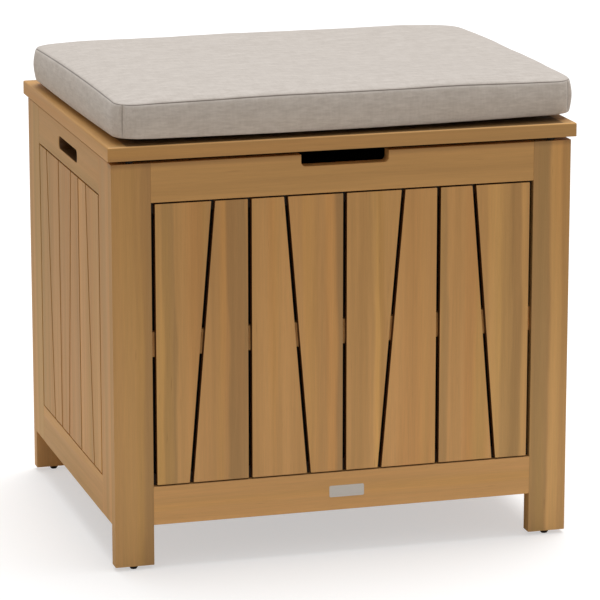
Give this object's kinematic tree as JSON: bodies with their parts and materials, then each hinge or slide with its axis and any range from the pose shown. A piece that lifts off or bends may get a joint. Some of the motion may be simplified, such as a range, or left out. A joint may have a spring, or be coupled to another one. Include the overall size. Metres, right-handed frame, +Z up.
{
  "type": "deck storage box",
  "caption": "Slatted wooden deck storage box with a hinged lid, hand slots, cloth liner, gas struts and a fabric seat cushion.",
  "frame": {"origin": "centre of the bounding box in plan, on the floor under the legs", "axes": "+X to the right seen from the front, +Y towards the rear with the hinges, +Z up"},
  "size_m": [0.61, 0.5, 0.6],
  "materials": {
    "wood_frame": "oiled",
    "wood_slats": "oiled",
    "wood_lid": "oiled",
    "batten_wood": "oiled",
    "floor_wood": "matt",
    "cushion_cloth": "woven",
    "liner_cloth": "matt",
    "hook_tape": "matt",
    "plate_metal": "satin",
    "glide_plastic": "matt",
    "bumper_rubber": "matt",
    "steel": "satin",
    "strut_black": "satin",
    "strut_chrome": "polished"
  },
  "bodies": {
    "box": {"box_screws": "steel", "floor_boards": "floor_wood", "floor_cleats": "floor_wood", "front_battens": "batten_wood", "front_bottom_rail": "wood_frame", "front_slat_1": "wood_slats", "front_slat_2": "wood_slats", "front_slat_3": "wood_slats", "front_slat_4": "wood_slats", "front_slat_5": "wood_slats", "front_slat_6": "wood_slats", "front_slat_7": "wood_slats", "front_slat_8": "wood_slats", "front_top_rail": "wood_frame", "glides": "glide_plastic", "hinge_lower_leaves": "steel", "label_plate": "plate_metal", "left_bottom_rail": "wood_frame", "left_front_stile": "wood_frame", "left_rear_stile": "wood_frame", "left_slat_1": "wood_slats", "left_slat_2": "wood_slats", "left_slat_3": "wood_slats", "left_slat_4": "wood_slats", "left_slat_5": "wood_slats", "left_slat_6": "wood_slats", "left_top_rail": "wood_frame", "leg_front_left": "wood_frame", "leg_front_right": "wood_frame", "leg_rear_left": "wood_frame", "leg_rear_right": "wood_frame", "lid_bumpers": "bumper_rubber", "liner_bag": "liner_cloth", "liner_studs": "steel", "rear_battens": "batten_wood", "rear_bottom_rail": "wood_frame", "rear_slats": "wood_slats", "rear_top_rail": "wood_frame", "right_bottom_rail": "wood_frame", "right_front_stile": "wood_frame", "right_rear_stile": "wood_frame", "right_slats": "wood_slats", "right_top_rail": "wood_frame", "side_battens": "batten_wood", "strut_lower_brackets": "steel"},
    "lid": {"lid_front_board": "wood_lid", "lid_rear_board": "wood_lid", "lid_left_board": "wood_lid", "lid_right_board": "wood_lid", "lid_slats": "wood_lid", "lid_battens": "batten_wood", "hinge_upper_leaves": "steel", "strut_upper_brackets": "steel", "lid_screws": "steel", "cushion_pads": "hook_tape"},
    "cushion": {"cushion": "cushion_cloth"},
    "left_tube": {"left_strut_tube": "strut_black"},
    "right_tube": {"right_strut_tube": "strut_black"},
    "left_rod": {"left_strut_rod": "strut_chrome"},
    "right_rod": {"right_strut_rod": "strut_chrome"}
  },
  "joints": [
    {"name": "lid_hinge", "type": "hinge", "parent": "box", "child": "lid", "pos_m": [0, 0.2476, 0.5235], "axis": [-1, 0, 0], "range_deg": [0, 90]},
    {"name": "cushion_lift", "type": "slide", "parent": "lid", "child": "cushion", "axis": [0, 0, 1], "range_m": [0, 0.1]},
    {"name": "left_tube_pivot", "type": "hinge", "parent": "box", "child": "left_tube", "pos_m": [-0.269, 0.1876, 0.3485], "axis": [-1, 0, 0], "range_deg": [0, 45]},
    {"name": "left_rod_pivot", "type": "hinge", "parent": "lid", "child": "left_rod", "pos_m": [-0.269, 0.06296, 0.512], "axis": [-1, 0, 0], "range_deg": [-45, 0]},
    {"name": "right_tube_pivot", "type": "hinge", "parent": "box", "child": "right_tube", "pos_m": [0.269, 0.1876, 0.3485], "axis": [-1, 0, 0], "range_deg": [0, 45]},
    {"name": "right_rod_pivot", "type": "hinge", "parent": "lid", "child": "right_rod", "pos_m": [0.269, 0.06296, 0.512], "axis": [-1, 0, 0], "range_deg": [-45, 0]}
  ],
  "couplings": [
    {"joint": "left_tube_pivot", "follows": "lid_hinge", "ratio": 0.5},
    {"joint": "left_rod_pivot", "follows": "lid_hinge", "ratio": -0.5},
    {"joint": "right_tube_pivot", "follows": "lid_hinge", "ratio": 0.5},
    {"joint": "right_rod_pivot", "follows": "lid_hinge", "ratio": -0.5}
  ]
}
